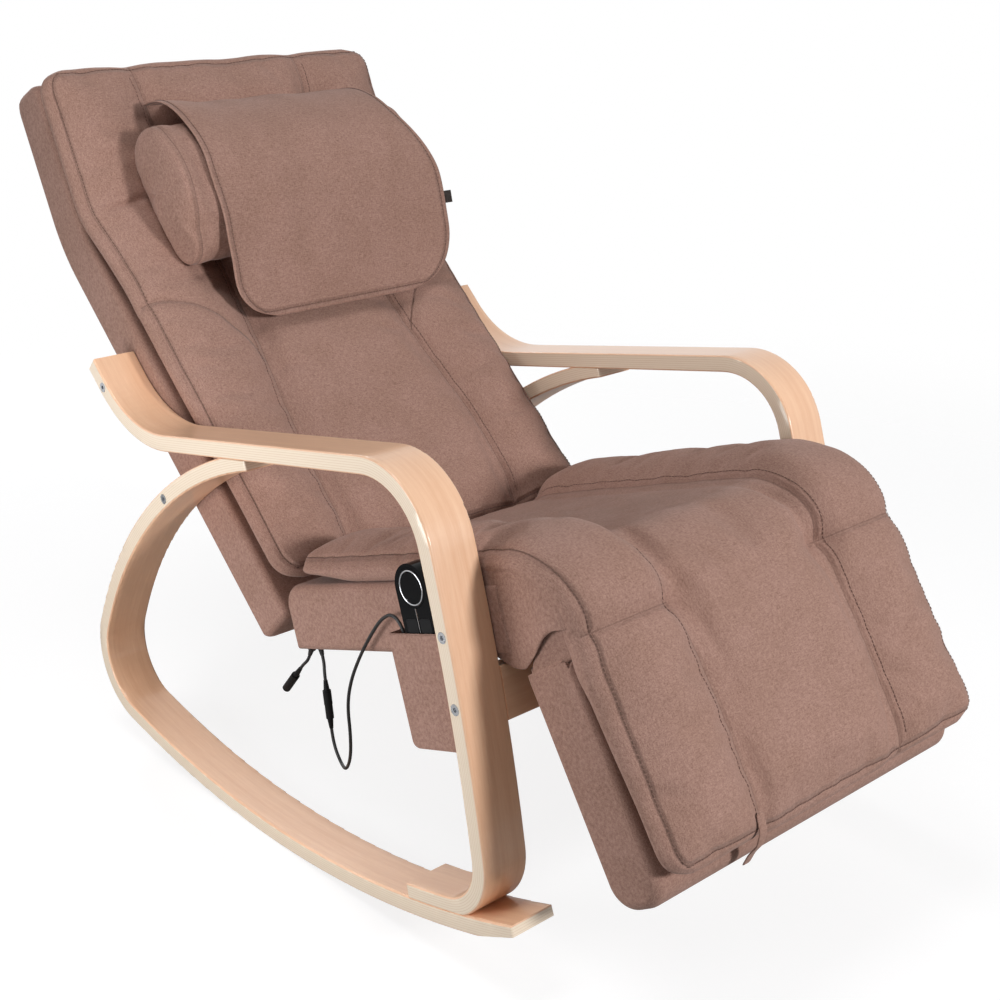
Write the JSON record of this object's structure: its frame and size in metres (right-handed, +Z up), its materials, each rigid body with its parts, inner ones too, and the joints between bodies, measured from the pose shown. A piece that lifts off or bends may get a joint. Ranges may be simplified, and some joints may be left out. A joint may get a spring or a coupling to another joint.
{
  "type": "massage rocking chair",
  "caption": "Bentwood rocking chair with a padded seat and back, hinged footrest, flap head cushion, hidden massage drive and a hand control in a side pocket.",
  "frame": {"origin": "on the floor under the middle of the chair's outline, leads left out", "axes": "-Y is the way the sitter faces, +X is the sitter's left, +Z is up; millimetres in the source"},
  "size_m": [0.6604, 1.283, 0.9183],
  "materials": {
    "birch": "clear satin lacquer over birch plywood",
    "pine": "plain sawn wood",
    "brown_cloth": "woven brown upholstery cloth over foam",
    "dark_cloth": "woven tape",
    "zinc_steel": "zinc plated",
    "bright_steel": "ground",
    "black_metal": "powder coat",
    "motor_metal": "plated can",
    "black_plastic": "fine texture",
    "grey_plastic": "moulded",
    "key_plastic": "satin",
    "black_gloss": "polished",
    "chrome": "polished",
    "black_rubber": "soft",
    "dark_rubber": "soft",
    "board": "solder mask"
  },
  "bodies": {
    "frame": {"right_arm_strip": "birch", "left_arm_strip": "birch", "right_rocker_strip": "birch", "left_rocker_strip": "birch", "front_rail": "birch", "frame_bolts": "zinc_steel", "barrel_nuts": "zinc_steel", "foot_screws": "zinc_steel", "arm_screws": "zinc_steel", "back_cover": "brown_cloth", "back_frame": "pine", "guide_rods": "bright_steel", "lift_motor": "motor_metal", "back_mat": "brown_cloth", "seat_cover": "brown_cloth", "seat_frame": "pine", "seat_deck": "pine", "vibration_motor": "motor_metal", "control_box": "black_plastic", "rear_brackets": "black_metal", "seat_mat": "brown_cloth", "knee_mat": "brown_cloth", "hinge_seat_leaves": "black_metal", "hinge_pins": "bright_steel", "remote_pocket": "brown_cloth", "power_grommet": "black_rubber", "control_grommet": "black_rubber", "power_lead": "black_rubber", "power_socket": "black_plastic", "control_lead": "black_rubber", "control_plug": "black_plastic", "control_socket": "black_plastic", "remote_cord": "black_rubber"},
    "footrest": {"footrest_cover": "brown_cloth", "footrest_frame": "pine", "foot_mat": "brown_cloth", "hinge_foot_leaves": "black_metal"},
    "head_cushion": {"head_pillow": "brown_cloth", "head_flap": "brown_cloth", "flap_tag": "dark_cloth"},
    "carriage": {"massage_carriage": "grey_plastic", "knead_motor": "motor_metal"},
    "screw": {"lead_screw": "bright_steel"},
    "kneading_heads": {"knead_shaft": "bright_steel", "massage_heads": "dark_rubber"},
    "vibrator": {"vibration_weight": "bright_steel"},
    "hand_control": {"remote_back": "black_gloss", "remote_front": "black_gloss", "remote_trim": "chrome", "remote_board": "board", "remote_relief": "black_rubber"},
    "main_button": {"remote_button": "black_gloss"},
    "key_1": {"remote_key_1": "key_plastic"},
    "key_2": {"remote_key_2": "key_plastic"},
    "key_3": {"remote_key_3": "key_plastic"},
    "key_4": {"remote_key_4": "key_plastic"},
    "key_5": {"remote_key_5": "key_plastic"},
    "key_6": {"remote_key_6": "key_plastic"}
  },
  "joints": [
    {"name": "footrest_tilt", "type": "hinge", "parent": "frame", "child": "footrest", "pos_m": [0, -0.40905, 0.39202], "axis": [-1, 0, 0], "range_deg": [-20, 57], "deforming": ["knee_mat"]},
    {"name": "cushion_lift", "type": "hinge", "parent": "frame", "child": "head_cushion", "pos_m": [0, 0.50131, 0.86338], "axis": [-1, 0, 0], "range_deg": [0, 100]},
    {"name": "massage_travel", "type": "slide", "parent": "frame", "child": "carriage", "axis": [0, 0.7266, 0.6871], "range_m": [-0.13, 0.13]},
    {"name": "screw_turn", "type": "hinge", "parent": "frame", "child": "screw", "pos_m": [0, 0.32247, 0.49037], "axis": [0, 0.7266, 0.6871], "range_deg": [-5900, 5900]},
    {"name": "knead_turn", "type": "hinge", "parent": "carriage", "child": "kneading_heads", "pos_m": [0, 0.33274, 0.52899], "axis": [1, 0, 0], "continuous": true},
    {"name": "vibrator_turn", "type": "hinge", "parent": "frame", "child": "vibrator", "pos_m": [0, -0.17229, 0.35876], "axis": [1, 0, 0], "continuous": true},
    {"name": "control_lift", "type": "slide", "parent": "frame", "child": "hand_control", "axis": [0, 0.319, 0.9478], "range_m": [0, 0.09], "deforming": ["remote_cord"]},
    {"name": "main_button_press", "type": "slide", "parent": "hand_control", "child": "main_button", "axis": [1, 0, 0], "range_m": [0, 0.0008], "stiffness_N_per_m": 400},
    {"name": "key_1_press", "type": "slide", "parent": "hand_control", "child": "key_1", "axis": [1, 0, 0], "range_m": [0, 0.0008], "stiffness_N_per_m": 400},
    {"name": "key_2_press", "type": "slide", "parent": "hand_control", "child": "key_2", "axis": [1, 0, 0], "range_m": [0, 0.0008], "stiffness_N_per_m": 400},
    {"name": "key_3_press", "type": "slide", "parent": "hand_control", "child": "key_3", "axis": [1, 0, 0], "range_m": [0, 0.0008], "stiffness_N_per_m": 400},
    {"name": "key_4_press", "type": "slide", "parent": "hand_control", "child": "key_4", "axis": [1, 0, 0], "range_m": [0, 0.0008], "stiffness_N_per_m": 400},
    {"name": "key_5_press", "type": "slide", "parent": "hand_control", "child": "key_5", "axis": [1, 0, 0], "range_m": [0, 0.0008], "stiffness_N_per_m": 400},
    {"name": "key_6_press", "type": "slide", "parent": "hand_control", "child": "key_6", "axis": [1, 0, 0], "range_m": [0, 0.0008], "stiffness_N_per_m": 400}
  ],
  "couplings": [
    {"joint": "screw_turn", "follows": "massage_travel", "rad_per_m": 785.4}
  ]
}
